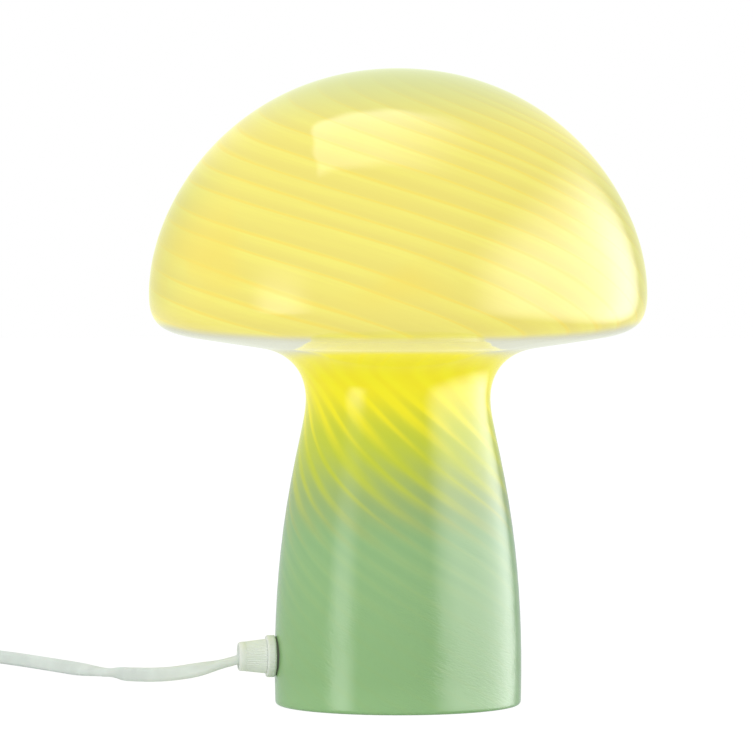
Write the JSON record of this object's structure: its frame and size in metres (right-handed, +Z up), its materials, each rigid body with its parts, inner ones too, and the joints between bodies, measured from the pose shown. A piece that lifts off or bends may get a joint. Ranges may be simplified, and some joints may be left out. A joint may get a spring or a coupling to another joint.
{
  "type": "mushroom table lamp",
  "caption": "Mushroom table lamp: one blown opal glass body, small screw lampholder and bulb inside, flat cord with in-line rocker switch and two-pin plug.",
  "frame": {"origin": "on the lamp's axis, at the plane that the glass foot stands on", "axes": "+Z up along the lamp's axis; the cord leaves the foot on the -X side; -Y looks at the viewer"},
  "size_m": [0.3656, 0.3098, 0.23],
  "materials": {
    "opal_glass": "blown glass in two layers, opal mint inside clear, with spiral stripes; glossy",
    "zinc_steel": "zinc plated",
    "soft_white": "soft translucent white",
    "holder_plastic": "moulded thermoset, satin",
    "brass": "bright",
    "bulb_glass": "clear",
    "black_insulator": "fused black glass",
    "solder": "dull solder",
    "filament_wire": "drawn wire",
    "outlet_plastic": "moulded nylon, satin",
    "cord_sheath": "soft extruded sheath, satin",
    "live_insulation": "brown wire insulation",
    "neutral_insulation": "blue wire insulation",
    "tie_plastic": "moulded nylon",
    "switch_plastic": "moulded, semi-gloss",
    "plug_plastic": "moulded, satin",
    "sleeve_black": "pin insulation"
  },
  "bodies": {
    "lamp": {"glass_body": "opal_glass", "neck_bracket": "zinc_steel", "holder_terminal_screws": "zinc_steel", "cord_grip_screw": "zinc_steel", "outlet_nut": "zinc_steel", "switch_terminal_screws": "zinc_steel", "clamp_screws": "zinc_steel", "cover_screws": "zinc_steel", "bracket_sleeves": "soft_white", "outlet_collet": "soft_white", "outlet_outer_gasket": "soft_white", "outlet_inner_gasket": "soft_white", "upper_clamp_ring": "holder_plastic", "lower_clamp_ring": "holder_plastic", "holder_skirt": "holder_plastic", "holder_dome": "holder_plastic", "holder_core": "holder_plastic", "cord_grip": "holder_plastic", "screw_shell": "brass", "centre_contact": "brass", "side_contact": "brass", "live_post": "brass", "fixed_contact": "brass", "neutral_link": "brass", "plug_pins": "brass", "outlet_body": "outlet_plastic", "outlet_nose": "outlet_plastic", "inner_lead": "cord_sheath", "cord_lamp_to_switch": "cord_sheath", "cord_switch_to_coil": "cord_sheath", "cord_coil": "cord_sheath", "cord_coil_to_plug": "cord_sheath", "live_core": "live_insulation", "switch_live_wires": "live_insulation", "neutral_core": "neutral_insulation", "switch_neutral_wires": "neutral_insulation", "coil_ties": "tie_plastic", "switch_base": "switch_plastic", "switch_cover": "switch_plastic", "cord_clamps": "switch_plastic", "plug_body": "plug_plastic", "plug_insert": "plug_plastic", "pin_sleeves": "sleeve_black"},
    "rocker": {"switch_rocker": "switch_plastic", "rocker_plunger": "switch_plastic"},
    "bridge": {"contact_bridge": "brass"},
    "bulb_foot": {"bulb_eyelet": "solder"},
    "bulb": {"bulb_globe": "bulb_glass", "bulb_cap": "brass", "bulb_insulator": "black_insulator", "bulb_stem": "bulb_glass", "filament_leads": "filament_wire", "bulb_filament": "filament_wire"}
  },
  "joints": [
    {"name": "rocker_tilt", "type": "hinge", "parent": "lamp", "child": "rocker", "pos_m": [-0.258, 0.12, 0.0115], "axis": [1, 0, 0], "range_deg": [0, 14]},
    {"name": "bridge_tilt", "type": "hinge", "parent": "lamp", "child": "bridge", "pos_m": [-0.258, 0.12, 0.0052], "axis": [1, 0, 0], "range_deg": [-16, 0]},
    {"name": "bulb_lift", "type": "slide", "parent": "lamp", "child": "bulb_foot", "axis": [0, 0, 1], "range_m": [0, 0.0156]},
    {"name": "bulb_turn", "type": "hinge", "parent": "bulb_foot", "child": "bulb", "pos_m": [0, 0, 0.0945], "axis": [0, 0, 1], "range_deg": [0, 1980]}
  ],
  "couplings": [
    {"joint": "bridge_tilt", "follows": "rocker_tilt", "ratio": -1.1429},
    {"joint": "bulb_lift", "follows": "bulb_turn", "m_per_rad": 0.00044882}
  ]
}
